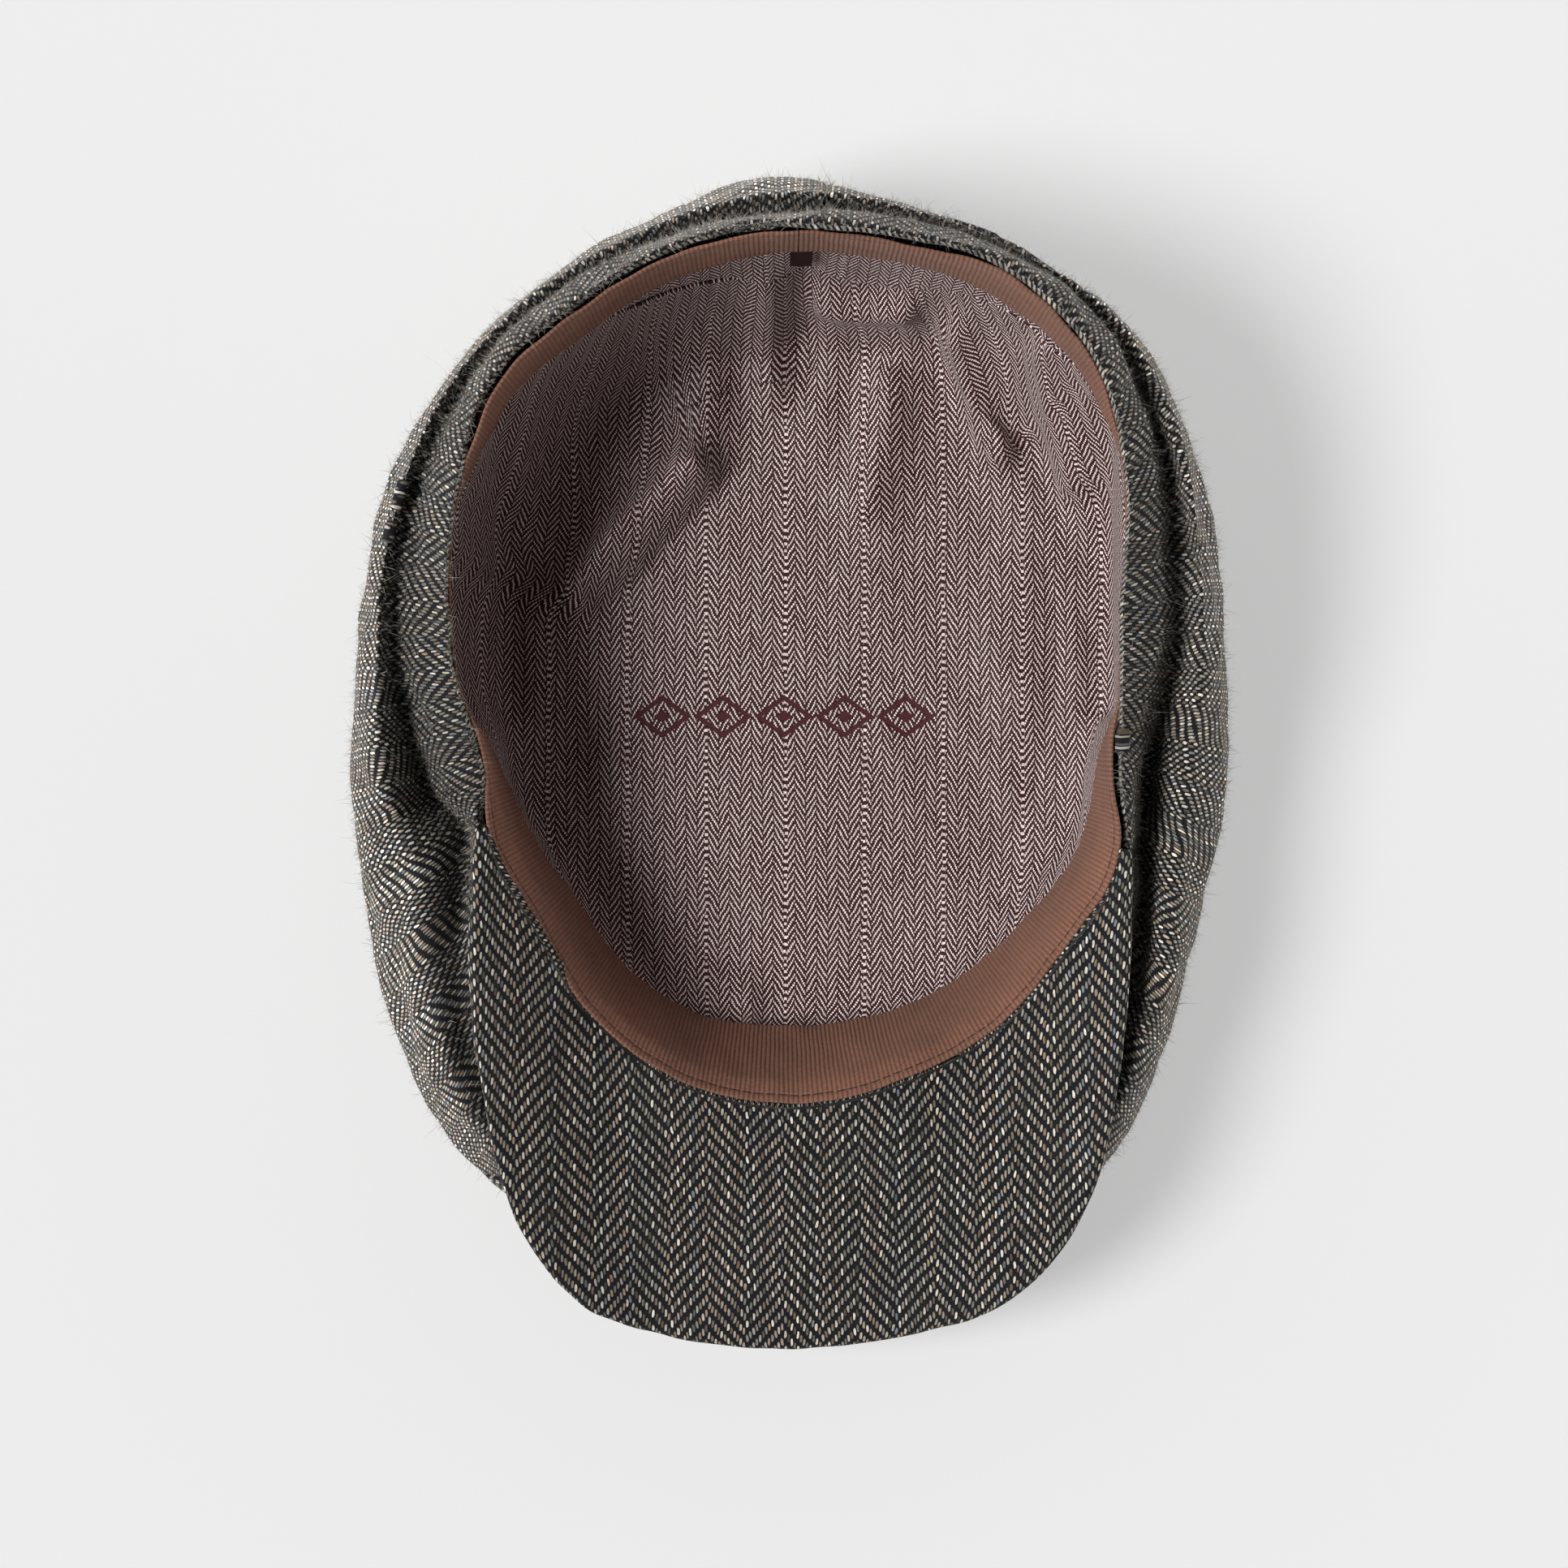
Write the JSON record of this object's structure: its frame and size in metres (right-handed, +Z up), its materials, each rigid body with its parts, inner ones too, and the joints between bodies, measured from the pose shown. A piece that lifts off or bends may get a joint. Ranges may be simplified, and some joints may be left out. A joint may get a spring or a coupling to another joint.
{
  "type": "flat cap",
  "caption": "Flat cap of herringbone tweed with a stiff curved peak, a ribbon sweatband and a woven lining, resting on its crown with the head opening up.",
  "frame": {"origin": "middle of the cap's outline, on the surface that the crown rests on", "axes": "+Z up, from the crown to the head opening; +Y to the back of the head; +X to the right as seen from above"},
  "size_m": [0.2136, 0.2834, 0.0881],
  "materials": {
    "tweed": "matt wool, dark with light herringbone",
    "grosgrain": "ribbed ribbon, low sheen",
    "lining": "smooth woven lining, slight sheen",
    "tab": "narrow woven tab"
  },
  "bodies": {
    "root": {"crown_top": "tweed", "crown_side_left": "tweed", "crown_side_right": "tweed", "peak": "tweed", "sweatband": "grosgrain", "lining_top": "lining", "lining_side": "lining", "size_tab": "tab"}
  },
  "joints": []
}
